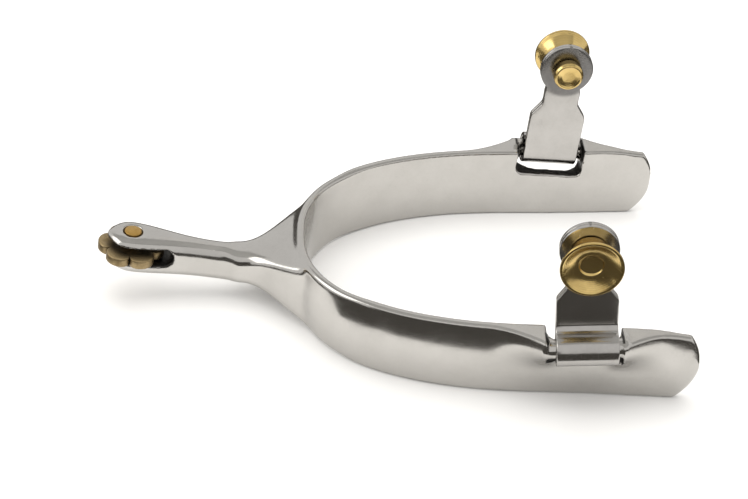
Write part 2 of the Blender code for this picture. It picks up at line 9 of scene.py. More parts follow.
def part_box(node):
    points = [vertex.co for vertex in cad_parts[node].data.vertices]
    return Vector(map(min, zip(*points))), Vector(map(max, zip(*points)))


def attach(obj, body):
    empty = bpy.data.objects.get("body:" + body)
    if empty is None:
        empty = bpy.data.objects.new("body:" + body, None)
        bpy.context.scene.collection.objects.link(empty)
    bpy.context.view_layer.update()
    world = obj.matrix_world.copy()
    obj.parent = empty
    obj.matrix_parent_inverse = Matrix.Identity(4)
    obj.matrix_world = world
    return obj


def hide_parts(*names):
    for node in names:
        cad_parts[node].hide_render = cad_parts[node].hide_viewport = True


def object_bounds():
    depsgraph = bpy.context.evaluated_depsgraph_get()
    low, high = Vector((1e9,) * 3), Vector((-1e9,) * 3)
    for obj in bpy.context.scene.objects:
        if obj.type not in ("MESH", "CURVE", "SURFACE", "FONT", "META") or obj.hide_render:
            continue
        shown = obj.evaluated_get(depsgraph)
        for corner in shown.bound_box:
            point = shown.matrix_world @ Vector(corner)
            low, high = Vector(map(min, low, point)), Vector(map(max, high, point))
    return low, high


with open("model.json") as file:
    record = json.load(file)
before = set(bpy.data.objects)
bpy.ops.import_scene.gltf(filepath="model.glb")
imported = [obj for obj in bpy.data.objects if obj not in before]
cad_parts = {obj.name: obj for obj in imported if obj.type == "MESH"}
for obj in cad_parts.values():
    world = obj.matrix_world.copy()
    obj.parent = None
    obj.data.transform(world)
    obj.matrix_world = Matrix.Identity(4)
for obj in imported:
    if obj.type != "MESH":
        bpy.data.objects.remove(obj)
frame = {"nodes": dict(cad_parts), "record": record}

MM = 0.001
CAD_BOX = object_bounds()

# Rounded corners: how much of a side one corner may take, and the steps in it.
CORNER_LIMIT = 0.45
ROUND_STEPS = 5
BEVEL_ANGLE = 50.0
SHARP_ANGLE = 40.0

# Heel band: sizes as in the CAD, with finer stations and steps.
HALF_WIDTH = 38.1
CURVE_LENGTH = 64.5
CURVE_POWER = 2.48
FLARE_SLOPE = 0.053
FLARE_BLEND = 8.0
BRANCH_LENGTH = 96.6
BAND_HEIGHT = 20.3
BAND_THICKNESS = 3.3
TOP_THICKNESS = 2.3
LOW_THICKNESS = 1.9
EDGE_ROUND = 0.35
EDGE_SHARE = 0.2
CROWN_POWER = 0.8
NORMAL_STEP = 1e-4
TIP_LOW_Z = 9.5
TIP_HIGH_Z = 12.5
TIP_LOW_RUN = 4.9
TIP_HIGH_RUN = 2.6
TIP_TOP_DROP = 1.4
TIP_DROP_RUN = 13.0
CURVE_STATIONS = 110
BRANCH_STATIONS = 90
TIP_STATIONS = 22
CROWN_STEPS = 26

# Hinge: sizes as in the CAD, with finer rings and steps.
HINGE_X = 68.4
BAR_OUT = 6.2
BAR_Z = 17.9
BAR_RADIUS = 2.3
BAR_FLARE = 3.7
BAR_FLARE_HEEL_RUN = 2.7
BAR_FLARE_TOE_RUN = 1.5
BAR_ROOT = 1.2
BAR_RINGS = 60
BAR_STEPS = 48
SLOT_HEEL_HALF = 9.8
SLOT_TOE_HALF = 8.5
SLOT_FLOOR_Z = 12.9
SLOT_CORNER = 1.6
SLOT_CORNER_STEPS = 8
SLOT_HEADROOM = 4.0
CUT_REACH = 14.0
LIP_REACH = 9.0
LIP_FALL = 1.9
LIP_EDGE = 0.4
LIP_RUN = 15.0
LIP_INNER_RUN = 4.5
LIP_LOW_Z = 8.5
LIP_HIGH_Z = 17.6

# Hanger: one strap folded double round the bar.
STRAP_THICKNESS = 1.1
LAYER_SEAM = 0.05
LOOP_RADIUS = 4.2
HANGER_WIDTH = 15.0
SHOULDER_Z = 12.7
NECK_HALF_WIDTH = 4.75
NECK_LOW_Z = 16.4
NECK_HIGH_Z = 20.2
EYE_Z = 27.3
EYE_RADIUS = 7.1
EYE_START_DROP = 1.7
EYE_TOP_ANGLE = math.pi / 2.0 - 0.06
EYE_STEPS = 40
NECK_TOP_EASE = 0.1
SHOULDER_EASE = 0.15
OUTLINE_ROUND = 0.9
POST_HOLE_RADIUS = 2.3
EYE_HOLE_STEPS = 64
FOLD_END_ANGLE = 95.0
FOLD_STEPS = 70
RETURN_STEPS = 14
RETURN_PULL = (2.6, 3.0)
RETURN_RISE = 1.6
LAYER_LEVELS = (9.0, 6.0, 3.0, 1.0)
RETURN_LEVELS = (7.0, 9.0, 11.0)
NECK_LOW_EASE = (0.3, 0.1)
SHOULDER_RISE = 0.4
OUTLINE_STEPS = 6
STRAP_EDGE_ROUND = 0.28
STRAP_CORNER_STEPS = 4
STRAP_FACE_STEPS = 8

# Button and rivet knob.
POST_RADIUS = 2.0
HEAD_RADIUS = 7.5
HEAD_OUT = 9.5
RIM_THICKNESS = 0.8
NECK_RADIUS = 4.5
DISH_DEPTH = 1.9
RECESS_RADIUS = 3.0
RECESS_DEPTH = 0.45
RECESS_CROWN = 0.05
RECESS_TAPER = 0.35
NECK_FLARE_SHARES = (0.35, 0.65)
NECK_FLARE_STEPS = 16
DISH_STEPS = 14
RIM_WIDTH = 0.6
RIM_EASE = (0.55, 0.02)
BUTTON_ROUND = 0.28
BUTTON_STEPS = 120
KNOB_RADIUS = 4.0
KNOB_HEIGHT = 3.3
KNOB_DISH_RADIUS = 2.9
KNOB_DISH_DEPTH = 0.5
KNOB_BORE_DEPTH = 1.7
KNOB_DISH_FLOOR_SHARE = 0.6
KNOB_DISH_SAG = 0.05
KNOB_DISH_LIP = ((0.0, 0.15), (0.25, 0.0))
KNOB_FRONT_EASE = ((0.45, 0.05), (0.0, 0.7))
KNOB_BACK_EASE = ((0.0, 0.5), (0.45, 0.0))
KNOB_ROUND = 0.3
KNOB_STEPS = 96

# Shank, fork, rowel and pin.
GAP = 0.3
PIN_X = -45.0
PIN_RADIUS = 2.2
PIN_BEVEL = 0.25
PIN_BEVEL_STEPS = 6
PIN_SINK = 0.1
PIN_LEVELS = (-3.0, 0.0, 3.0)
PIN_STEPS = 64
FORK_RADIUS = 5.9
FORK_Z = 14.2
FORK_TILT = 8.0
FORK_HEIGHT = 9.0
FORK_CROWN = 0.7
FORK_NOSE_DROP = 0.5
SHANK_TOP_CORNER = 2.3
SHANK_LOW_CORNER = 1.8
SHANK_CORNER_SHARE = 0.85
CORNER_STEPS = 7
FACE_STEPS = 14
EAR_ANGLE = 86.0
EAR_STATIONS = 28
EAR_POWER = 1.6
NECK_STATIONS = 60
ROOT_STATIONS = 50
RISE_TERMS = (0.5, 1.15, -0.65)
WAIST_X = -22.0
WAIST_WIDTH = 6.8
WAIST_HEIGHT = 8.5
WAIST_POWER = 1.5
ROOT_X = -17.0
ROOT_WIDTH = 9.4
ROOT_HEIGHT = 8.0
ROOT_Z = 9.7
ROOT_WIDTH_POWER = 1.9
ROOT_HEIGHT_POWER = 2.0
WRAP_POWER = 2.0
SHANK_END_X = -1.0
SHANK_END_WIDTH = 40.0
SHANK_END_INSET = 0.5
FORK_SLOT_HEIGHT = 4.7
FORK_SLOT_REACH = 8.7
FORK_SLOT_RISE = 0.6
FORK_SLOT_CUT = 10.0
FORK_SLOT_STEPS = 24
BORE_STEPS = 72
ROWEL_RADIUS = 8.6
ROWEL_ROOT_RADIUS = 5.9
ROWEL_THICKNESS = 2.5
ROWEL_DROP = 0.1
ROWEL_LOBES = 6
LOBE_FULLNESS = 0.42
LOBE_STEPS = 40
ROWEL_BEVEL = 0.4
ROWEL_BEVEL_STEPS = 5
ROWEL_BORE_EDGE = 0.1

# How finely the steel body is remeshed, and how far polishing has softened it.
VOXEL = 0.34
POLISH_SHARE = 0.5
POLISH_STEPS = 9
FILLET_STEPS = 110
FILLET_OUT = 3.0
FILLET_RUN = 10.0
FILLET_HALF_WIDTH = 30.0
FILLET_FADE = 6.0
FILLET_END_X = 25.0
WAVE_HEIGHT = 0.065
WAVE_LENGTH = 13.0
RIPPLE_SHARE = 0.35
RIPPLE_RATE = 2.3
RIPPLE_OFFSET = Vector((7.1, 3.3, 5.9))

# Where shade is painted into the hinge slots, the fork's slot and round the rivet knob, and how the rowel is
# painted darker towards its middle.
SLOT_SHADE_SKIN = 0.35
SLOT_INNER_REACH = 17.9
ROWEL_DARK_DEPTH = 0.9
ROWEL_DARK_EDGE = 0.6
ROWEL_DARK_RUN = 2.4
KNOB_SHADE_SKIN = 0.2
KNOB_SHADE_EDGE = 0.1
KNOB_SHADE_RUN = 1.2

# Materials. Colours are linear RGB, depths metres, and scales features in a metre.
# Each metal's last colour is a painted dark tone: painted shade in the band's slots and round the rivet knob
# on the hanger's eye, and the rowel's darkening towards its middle.
STEEL_FACTS = {
    "light": (0.54, 0.525, 0.50, 1.0), "dark": (0.50, 0.485, 0.46, 1.0), "gloss_range": (0.10, 0.20),
    "wave": 0.00012, "wave_scale": 90.0, "scratch_along": (260.0, 5200.0, 5200.0), "scratch_depth": 0.0000025,
    "mottle_scale": 120.0, "shade_and_dark_tone": (0.030, 0.028, 0.026, 1.0), "shade_and_dark_rough": 0.3}
STRAP_FACTS = {
    "light": (0.50, 0.485, 0.465, 1.0), "dark": (0.45, 0.435, 0.415, 1.0), "gloss_range": (0.12, 0.22),
    "wave": 0.0002, "wave_scale": 110.0, "scratch_along": (5200.0, 5200.0, 260.0), "scratch_depth": 0.000003,
    "mottle_scale": 180.0, "shade_and_dark_tone": (0.20, 0.195, 0.19, 1.0), "shade_and_dark_rough": 0.06}
ROWEL_FACTS = {
    "light": (0.41, 0.315, 0.175, 1.0), "dark": (0.26, 0.19, 0.095, 1.0), "gloss_range": (0.28, 0.46),
    "wave": 0.0002, "wave_scale": 300.0, "scratch_along": (700.0, 5200.0, 5200.0), "scratch_depth": 0.000006,
    "mottle_scale": 420.0, "shade_and_dark_tone": (0.06, 0.045, 0.028, 1.0), "shade_and_dark_rough": 0.15}
BRASS_FACTS = {
    "light": (0.74, 0.55, 0.225, 1.0), "dark": (0.58, 0.415, 0.155, 1.0), "gloss_range": (0.14, 0.26),
    "rings_per_mm": 2.4, "ring_depth": 0.000006}
PIN_FACTS = {
    "light": (0.50, 0.32, 0.105, 1.0), "dark": (0.38, 0.225, 0.062, 1.0), "gloss_range": (0.24, 0.40),
    "rings_per_mm": 2.0, "ring_depth": 0.000008}
HAIR_BAND = (0.60, 0.74)
HAIR_ROUGH = 0.10
CROSS_BAND = (0.64, 0.76)
CROSS_RANGE = (0.0, 0.8)
CLOUD_BAND = (0.3, 0.7)
TINT_BAND = (0.45, 0.85)
GRAIN_RATE = 11.0
GRAIN_TINT = 0.35
GRAIN_BAND = (0.4, 0.7)
GRAIN_ROUGH_RANGE = (0.0, 0.03)
GRAIN_DEPTH_SHARE = 1.5
SHADE_MOTTLE_BAND = (0.3, 0.6)
SHADE_MOTTLE_RANGE = (0.92, 1.0)
LATHE_JITTER = 0.00035
LATHE_TINT = 0.10
BRASS_TINT_BAND = (0.40, 0.75)
TARNISH_SCALE = 260.0
BRASS_GRAIN_SCALE = 2600.0
BRASS_SCRATCHES = (900.0, 900.0, 6000.0)

# Stage and lights, in metres. The mats lie on the floor as (x, y) outlines; the walls are (x, z) outlines.
FLOOR_HALF = 3.0
FLOOR_DROP = 0.0001
PAPER = (0.93, 0.925, 0.915, 1.0)
SKY = (1.0, 0.99, 0.975, 1.0)
SKY_STRENGTH = 0.85
DARK_CARD = (0.05, 0.047, 0.043, 1.0)
DARK_GLOW = 0.4
MAT_RISE = 0.0005
MAT_CORNERS = ((-0.60, -0.70), (0.70, -0.70))
MAT_EDGE = ((0.70, -0.086), (0.072, -0.083), (0.060, -0.065), (0.0, -0.060), (-0.02, -0.050),
            (-0.035, -0.034), (-0.09, -0.032), (-0.60, -0.060))
REAR_MAT = ((-0.60, -0.06), (-0.095, -0.03), (-0.095, 0.03), (-0.60, 0.06))
TOE_MAT = ((0.70, -0.086), (0.098, -0.08), (0.098, 0.08), (0.70, 0.086))
BACK_WALL_Y = 0.85
BACK_WALL = ((-0.8, 0.0), (0.9, 0.0), (0.9, 0.10), (-0.8, 0.10))
FRONT_WALL_Y = -0.70
FRONT_WALL = ((-0.8, 0.0), (0.9, 0.0), (0.9, 0.10), (-0.02, 0.10), (-0.05, 0.28), (-0.8, 0.34))
CEILING_CARD = (0.22, 0.22, 0.215, 1.0)
CEILING_GLOW = 1.0
CEILING_Z = 0.9
CEILING = ((-0.8, -0.40), (0.8, -0.40), (0.8, 0.75), (-0.8, 0.75))
BACK_CARD = (0.45, 0.445, 0.435, 1.0)
BACK_GLOW = 0.5
GREY_BACK_Y = 0.8
GREY_BACK = ((0.155, 0.3), (0.9, 0.3), (0.9, 0.9), (0.155, 0.9))
SOFTBOX_COLOR = (1.0, 0.985, 0.96)
OVERHEAD_PLACE = (0.0, 0.15, 1.0)
OVERHEAD_SIZE = 1.1
OVERHEAD_POWER = 7.0
LEFT_PLACE = (-0.9, -0.1, 0.6)
LEFT_SIZE = 0.7
LEFT_POWER = 3.0

# Camera: angles in degrees, distance, sensor and lens in millimetres, aim in the design frame.
CAMERA_AZIMUTH = -2.972
CAMERA_ELEVATION = 35.833
CAMERA_ROLL = 2.547
CAMERA_DISTANCE = 479.0
CAMERA_AIM = (17.88, 0.0, 14.23)
CAMERA_SENSOR = 36.0
CAMERA_LENS = 88.556
CAMERA_CLIP = 0.01

SIDES = {"right": -1, "left": 1}
SHIFT_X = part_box("heel_band")[1][0] / MM - BRANCH_LENGTH


def smooth(t):
    t = min(max(t, 0.0), 1.0)
    return t * t * (3.0 - 2.0 * t)


def mix(a, b, t):
    return a + (b - a) * t


# ---------------------------------------------------------------- meshes

def make_object(name, points, faces, matrix=None):
    """A closed mesh object from points in millimetres, placed by matrix (in metres)."""
    mesh = bpy.data.meshes.new(name)
    mesh.from_pydata([Vector(p) * MM for p in points], [], faces)
    bm = bmesh.new()
    bm.from_mesh(mesh)
    bmesh.ops.recalc_face_normals(bm, faces=bm.faces)
    bm.to_mesh(mesh)
    bm.free()
    mesh.shade_smooth()
    obj = bpy.data.objects.new(name, mesh)
    bpy.context.scene.collection.objects.link(obj)
    if matrix is not None:
        obj.matrix_world = matrix
    return obj


def loft(name, rings, matrix=None, split_caps=False):
    """Skin a row of equal rings and cap both ends; split_caps fills a bent end with quads."""
    size = len(rings[0])
    last = (len(rings) - 1) * size
    faces = []
    for i in range(len(rings) - 1):
        for j in range(size):
            a = i * size + j
            b = i * size + (j + 1) % size
            faces.append((a, b, b + size, a + size))
    if split_caps:
        for j in range(size // 2 - 1):
            quad = (j, j + 1, size - 2 - j, size - 1 - j)
            faces.append(quad)
            faces.append(tuple(last + k for k in reversed(quad)))
    else:
        faces.append(tuple(range(size)))
        faces.append(tuple(last + j for j in reversed(range(size))))
    return make_object(name, [p for ring in rings for p in ring], faces, matrix)


def turn(name, profile, steps, matrix=None):
    """Turn (radius, y) points, the first and last on the axis, about the Y axis."""
    inner = profile[1:-1]
    size = len(inner)
    points = []
    for i in range(steps):
        angle = 2.0 * math.pi * i / steps
        points += [(r * math.cos(angle), y, r * math.sin(angle)) for r, y in inner]
    start = len(points)
    points += [(0.0, profile[0][1], 0.0), (0.0, profile[-1][1], 0.0)]
    faces = []
    for i in range(steps):
        a = i * size
        b = ((i + 1) % steps) * size
        faces += [(a + j, b + j, b + j + 1, a + j + 1) for j in range(size - 1)]
        faces += [(start, b, a), (start + 1, a + size - 1, b + size - 1)]
    return make_object(name, points, faces, matrix)


def rounded(profile, radius, steps=ROUND_STEPS):
    """Round each corner of an open polyline of (a, b) points with an arc-like curve of about that radius."""
    result = [profile[0]]
    for before, corner, after in zip(profile, profile[1:], profile[2:]):
        p = Vector(corner)
        to_before = Vector(before) - p
        to_after = Vector(after) - p
        reach = min(radius, CORNER_LIMIT * to_before.length, CORNER_LIMIT * to_after.length)
        a = p + to_before.normalized() * reach
        b = p + to_after.normalized() * reach
        for i in range(steps + 1):
            t = i / steps
            q = a * (1.0 - t) ** 2 + p * 2.0 * t * (1.0 - t) + b * t ** 2
            result.append((q.x, q.y))
    result.append(profile[-1])
    return result


def apply_modifiers(obj):
    bpy.context.view_layer.update()
    graph = bpy.context.evaluated_depsgraph_get()
    mesh = bpy.data.meshes.new_from_object(obj.evaluated_get(graph))
    obj.modifiers.clear()
    obj.data = mesh


def combine(target, tool, operation):
    """Apply an exact Boolean to target and remove the tool."""
    modifier = target.modifiers.new(operation.lower(), 'BOOLEAN')
    modifier.operation = operation
    modifier.solver = 'EXACT'
    modifier.object = tool
    apply_modifiers(target)
    bpy.data.objects.remove(tool, do_unlink=True)


def join(target, others):
    """Add the other objects' meshes to target's, all in world space, and remove them."""
    bm = bmesh.new()
    for obj in [target] + others:
        obj.data.transform(obj.matrix_world)
        bm.from_mesh(obj.data)
    bm.to_mesh(target.data)
    bm.free()
    target.matrix_world = Matrix.Identity(4)
    for obj in others:
        bpy.data.objects.remove(obj, do_unlink=True)


# ---------------------------------------------------------------- heel band

def inner_point(side, q):
    """A point of the inner face's plan curve: q runs 0 to 1 round the heel and 1 to 2 along the branch."""
    if q <= 1.0:
        theta = q * math.pi / 2.0
        x = CURVE_LENGTH * (1.0 - math.cos(theta) ** (2.0 / CURVE_POWER))
        y = HALF_WIDTH * math.sin(theta) ** (2.0 / CURVE_POWER)
    else:
        x = mix(CURVE_LENGTH, BRANCH_LENGTH, q - 1.0)
        y = HALF_WIDTH
    past = x - CURVE_LENGTH
    if past > FLARE_BLEND:
        y += FLARE_SLOPE * past
    elif past > -FLARE_BLEND:
        y += FLARE_SLOPE * (past + FLARE_BLEND) ** 2 / (4.0 * FLARE_BLEND)
    return Vector((x, side * y, 0.0))


def heel_curve_x(y):
    """How far the inner face has curved towards the toe at y."""
    return CURVE_LENGTH * (1.0 - (1.0 - (abs(y) / HALF_WIDTH) ** CURVE_POWER) ** (1.0 / CURVE_POWER))


def outward(side, q):
    """The plan curve's outward normal at q."""
    if q == 0.0:
        return Vector((-1.0, 0.0, 0.0))
    along = inner_point(side, min(q + NORMAL_STEP, 2.0)) - inner_point(side, max(q - NORMAL_STEP, 0.0))
    return Vector((-along.y, along.x, 0.0)).normalized() * side


def lip_share(x):
    """How far the outer face leans out to the bar, 0 to 1: most at the slot's two walls, none between."""
    past = max(HINGE_X - SLOT_HEEL_HALF - x, x - HINGE_X - SLOT_TOE_HALF)
    if past < 0.0:
        return 1.0 - smooth(-past / LIP_INNER_RUN)
    return max(0.0, 1.0 - past / LIP_RUN) ** LIP_FALL


def band_section(x, z_low, z_high):
    """The band's section as (out, z) points: flat inner face, crowned outer face, lip at the hinge."""
    lip = lip_share(x)
    top = mix(TOP_THICKNESS, LIP_REACH - LIP_EDGE, lip)
    edge = min(EDGE_ROUND, EDGE_SHARE * (z_high - z_low))
    crown = BAND_THICKNESS - 0.5 * (TOP_THICKNESS + LOW_THICKNESS)
    levels = [i / CROWN_STEPS for i in range(CROWN_STEPS + 1)]
    points = [(0.0, mix(z_low + edge, z_high - edge, v)) for v in levels]
    points += [(edge, z_high), (top - edge, z_high)]
    for v in levels:
        z = mix(z_high - edge, z_low + edge, v)
        plain = mix(TOP_THICKNESS, LOW_THICKNESS, v) + crown * math.sin(math.pi * v) ** CROWN_POWER
        lean = lip * smooth((z - LIP_LOW_Z) / (LIP_HIGH_Z - LIP_LOW_Z))
        round_off = LIP_EDGE * lip * smooth((z - BAR_Z) / (BAND_HEIGHT - BAR_Z))
        points.append((mix(plain, LIP_REACH, lean) - round_off, z))
    points += [(LOW_THICKNESS - edge, z_low), (edge, z_low)]
    return points


def edge_heights(x):
    """The band's lower and upper edge at x, with the branch's rounded tip."""
    to_tip = BRANCH_LENGTH - x
    z_high = BAND_HEIGHT - TIP_TOP_DROP * smooth(1.0 - to_tip / TIP_DROP_RUN)
    z_low = 0.0
    if to_tip < TIP_HIGH_RUN:
        z_high = mix(TIP_HIGH_Z, z_high, math.sqrt(max(to_tip, 0.0) / TIP_HIGH_RUN))
    if to_tip < TIP_LOW_RUN:
        z_low = TIP_LOW_Z * (1.0 - math.sqrt(max(to_tip, 0.0) / TIP_LOW_RUN))
    return z_low, z_high


def branch_stations():
    curve = [i / CURVE_STATIONS for i in range(CURVE_STATIONS + 1)]
    tip_start = 1.0 - TIP_LOW_RUN / (BRANCH_LENGTH - CURVE_LENGTH)
    straight = [1.0 + tip_start * i / BRANCH_STATIONS for i in range(1, BRANCH_STATIONS + 1)]
    tip = [2.0 - (1.0 - tip_start) * (1.0 - i / TIP_STATIONS) ** 2 for i in range(1, TIP_STATIONS + 1)]
    return curve + straight + tip


def make_band():
    stations = branch_stations()
    order = [(-1, q) for q in reversed(stations[1:])] + [(1, q) for q in stations]
    rings = []
    for side, q in order:
        inner = inner_point(side, q)
        normal = outward(side, q)
        z_low, z_high = edge_heights(inner.x)
        section = band_section(inner.x, z_low, z_high)
        rings.append([(inner.x + normal.x * out, inner.y + normal.y * out, z) for out, z in section])
    return loft("heel_band_steel", rings)


# ---------------------------------------------------------------- hinge

def joint_fact(name):
    for joint in frame["record"]["behaviour"]["joints"]:
        if joint["name"] == name:
            return joint
    raise KeyError(name)


def hinge_matrix(side_name):
    """The hinge's own frame from the record's joint: X along the bar, Y outward, Z up. In metres."""
    side = SIDES[side_name]
    fact = joint_fact(side_name + "_hanger_swing")
    along = Vector(fact["axis"]).normalized()
    normal = (Vector((0.0, 0.0, 1.0)).cross(along) * side).normalized()
    up = along.cross(normal) * side
    result = Matrix((along, normal, up)).transposed().to_4x4()
    result.translation = Vector(fact["pos_m"])
    return result


def design_matrix(matrix):
    """A matrix in the row frame moved back to the design frame."""
    return Matrix.Translation((-SHIFT_X * MM, 0.0, 0.0)) @ matrix


def hanger_matrix(side_name, height=0.0):
    """The hanger's frame: the hinge's, slid along the bar to the CAD hanger's middle."""
    hinge = hinge_matrix(side_name)
    back = hinge.inverted()
    points = [back @ vertex.co for vertex in frame["nodes"][side_name + "_hanger"].data.vertices]
    xs = [point.x for point in points if point.z < 0.0]
    return hinge @ Matrix.Translation((0.5 * (min(xs) + max(xs)), 0.0, height * MM))


def slot_cutter(matrix):
    """A block with two rounded lower edges, open at the top and through the whole band."""
    floor = SLOT_FLOOR_Z - BAR_Z
    top = BAND_HEIGHT - BAR_Z + SLOT_HEADROOM
    corners = ((math.pi, SLOT_CORNER - SLOT_HEEL_HALF), (1.5 * math.pi, SLOT_TOE_HALF - SLOT_CORNER))
    outline = [(-SLOT_HEEL_HALF, top)]
    for first, middle in corners:
        for i in range(SLOT_CORNER_STEPS + 1):
            angle = first + math.pi / 2.0 * i / SLOT_CORNER_STEPS
            x = middle + SLOT_CORNER * math.cos(angle)
            outline.append((x, floor + SLOT_CORNER * (1.0 + math.sin(angle))))
    outline.append((SLOT_TOE_HALF, top))
    return loft("slot_cutter", [[(x, y, z) for x, z in outline] for y in (-CUT_REACH, CUT_REACH)], matrix)


def bar_flare(x):
    """How far the bar's slot side swells out near the wall at either end of the slot."""
    to_heel = (x + SLOT_HEEL_HALF) / BAR_FLARE_HEEL_RUN
    to_toe = (SLOT_TOE_HALF - x) / BAR_FLARE_TOE_RUN
    return BAR_FLARE * (1.0 - min(max(min(to_heel, to_toe), 0.0), 1.0)) ** 2


def bar_solid(matrix):
    """The hinge bar: a round rod whose ends flare into the lips, mostly on the side of the slot."""
    low = -SLOT_HEEL_HALF - BAR_ROOT
    high = SLOT_TOE_HALF + BAR_ROOT
    rings = []
    for k in range(BAR_RINGS + 1):
        x = mix(low, high, k / BAR_RINGS)
        ring = []
        for i in range(BAR_STEPS):
            angle = 2.0 * math.pi * i / BAR_STEPS
            out = BAR_RADIUS * math.cos(angle) - bar_flare(x) * max(-math.cos(angle), 0.0)
            ring.append((x, out, BAR_RADIUS * math.sin(angle)))
        rings.append(ring)
    return loft("bar", rings, matrix)


# ---------------------------------------------------------------- shank

def shank_middle(x):
    """The shank's middle height: it rises to the rear and meets the fork at the fork's own tilt."""
    if x > ROOT_X:
        return mix(ROOT_Z, BAND_HEIGHT / 2.0, (x - ROOT_X) / (SHANK_END_X - ROOT_X))
    t = (ROOT_X - x) / (ROOT_X - PIN_X)
    rise = sum(term * t ** (power + 1) for power, term in enumerate(RISE_TERMS))
    nose = max(PIN_X - x, 0.0) / FORK_RADIUS
    return mix(ROOT_Z, FORK_Z, rise) - FORK_NOSE_DROP * nose ** 2


def shank_size(x):
    """The shank's width and height at x."""
    if x < PIN_X:
        height = FORK_HEIGHT - 2.0 * FORK_NOSE_DROP * ((PIN_X - x) / FORK_RADIUS) ** 2
        return 2.0 * math.sqrt(max(FORK_RADIUS ** 2 - (x - PIN_X) ** 2, 0.0)), height
    if x < WAIST_X:
        t = smooth((WAIST_X - x) / (WAIST_X - PIN_X))
        return mix(WAIST_WIDTH, 2.0 * FORK_RADIUS, t ** EAR_POWER), mix(WAIST_HEIGHT, FORK_HEIGHT, t)
    if x < ROOT_X:
        t = smooth((x - WAIST_X) / (ROOT_X - WAIST_X)) ** WAIST_POWER
        return mix(WAIST_WIDTH, ROOT_WIDTH, t), mix(WAIST_HEIGHT, ROOT_HEIGHT, t)
    t = (x - ROOT_X) / (SHANK_END_X - ROOT_X)
    width = mix(ROOT_WIDTH, SHANK_END_WIDTH, t ** ROOT_WIDTH_POWER)
    height = mix(ROOT_HEIGHT, BAND_HEIGHT - 2.0 * SHANK_END_INSET, t ** ROOT_HEIGHT_POWER)
    return width, height


def shank_outline(half_w, half_h):
    """A rounded rectangle as (y, z) points, softer above than below: the upper half, then the lower back."""
    outline = []
    for rise, quarter, softness in ((1, 0.0, SHANK_TOP_CORNER), (-1, 2.0, SHANK_LOW_CORNER)):
        corner = min(softness, SHANK_CORNER_SHARE * half_w, SHANK_CORNER_SHARE * half_h)
        flat = half_w - corner
        level = rise * (half_h - corner)
        for middle, first in ((rise * flat, quarter), (-rise * flat, quarter + 1.0)):
            for i in range(CORNER_STEPS + 1):
                angle = math.pi / 2.0 * (first + i / CORNER_STEPS)
                outline.append((middle + corner * math.cos(angle), level + corner * math.sin(angle)))
            if first == quarter:
                for i in range(1, FACE_STEPS):
                    outline.append((rise * flat * (1.0 - 2.0 * i / FACE_STEPS), rise * half_h))
    return outline


def shank_ring(x):
    """The shank's section at x, with crowned faces. Near its root it wraps round the heel and flattens."""
    width, height = shank_size(x)
    wrap = smooth((x - ROOT_X) / (SHANK_END_X - ROOT_X)) ** WRAP_POWER
    half_w = width / 2.0
    half_h = height / 2.0
    swell = FORK_CROWN * (1.0 - wrap) / half_h
    ring = []
    for y, z in shank_outline(half_w, half_h):
        crown = 1.0 + swell * (1.0 - (y / half_w) ** 2)
        ring.append((x + wrap * heel_curve_x(y), y, shank_middle(x) + z * crown))
    return ring


def make_shank():
    angles = [math.radians(EAR_ANGLE * (1.0 - i / EAR_STATIONS)) for i in range(EAR_STATIONS + 1)]
    ear = [PIN_X - FORK_RADIUS * math.sin(angle) for angle in angles]
    neck = [mix(PIN_X, ROOT_X, i / NECK_STATIONS) for i in range(1, NECK_STATIONS + 1)]
    root = [mix(ROOT_X, SHANK_END_X, i / ROOT_STATIONS) for i in range(1, ROOT_STATIONS + 1)]
    return loft("shank", [shank_ring(x) for x in ear + neck + root], split_caps=True)


def fork_frame(turned):
    """The frame at the pin's middle from the record's rowel joint, in metres; turned puts Y along the pin."""
    fact = joint_fact("rowel_spin")
    result = Matrix.Rotation(math.radians(FORK_TILT), 4, 'Y')
    if turned:
        result = result @ Matrix.Rotation(math.pi / 2.0, 4, 'X')
    result.translation = Vector(fact["pos_m"])
    return result


def fork_slot(matrix):
    """The slot for the rowel, which ends in a round hole across the shank."""
    radius = FORK_SLOT_HEIGHT / 2.0
    outline = [(-FORK_SLOT_CUT, FORK_SLOT_RISE - radius)]
    for i in range(FORK_SLOT_STEPS + 1):
        angle = math.pi * (i / FORK_SLOT_STEPS - 0.5)
        x = FORK_SLOT_REACH + radius * math.cos(angle)
        outline.append((x, FORK_SLOT_RISE + radius * math.sin(angle)))
    outline.append((-FORK_SLOT_CUT, FORK_SLOT_RISE + radius))
    rings = [[(x, y, z) for x, z in outline] for y in (-FORK_SLOT_CUT, FORK_SLOT_CUT)]
    return loft("fork_slot", rings, matrix)


def hole_cutter(name, radius, steps, matrix):
    """A round cutter along the frame's Y axis, long enough to pass right through any piece."""
    profile = [(0.0, -CUT_REACH), (radius, -CUT_REACH), (radius, CUT_REACH), (0.0, CUT_REACH)]
    return turn(name, profile, steps, matrix)


def soften(obj, steps, weight_at=None):
    """Smooth the mesh as polishing does, everywhere or by a weight that differs from place to place."""
    modifier = obj.modifiers.new("polish", 'SMOOTH')
    modifier.factor = POLISH_SHARE
    modifier.iterations = steps
    if weight_at is not None:
        group = obj.vertex_groups.new(name="polish")
        for vertex in obj.data.vertices:
            weight = weight_at(vertex.co / MM - Vector((SHIFT_X, 0.0, 0.0)))
            if weight > 0.0:
                group.add([vertex.index], weight, 'REPLACE')
        modifier.vertex_group = "polish"
    apply_modifiers(obj)
    obj.vertex_groups.clear()


def shank_root_weight(p):
    """Where the shank flows into the band: full just outside the band, none a few millimetres away."""
    if abs(p.y) > FILLET_HALF_WIDTH or p.x > FILLET_END_X:
        return 0.0
    from_line = abs(p.x - heel_curve_x(p.y) + FILLET_OUT)
    return smooth(1.0 - from_line / FILLET_RUN) * smooth((FILLET_HALF_WIDTH - abs(p.y)) / FILLET_FADE)


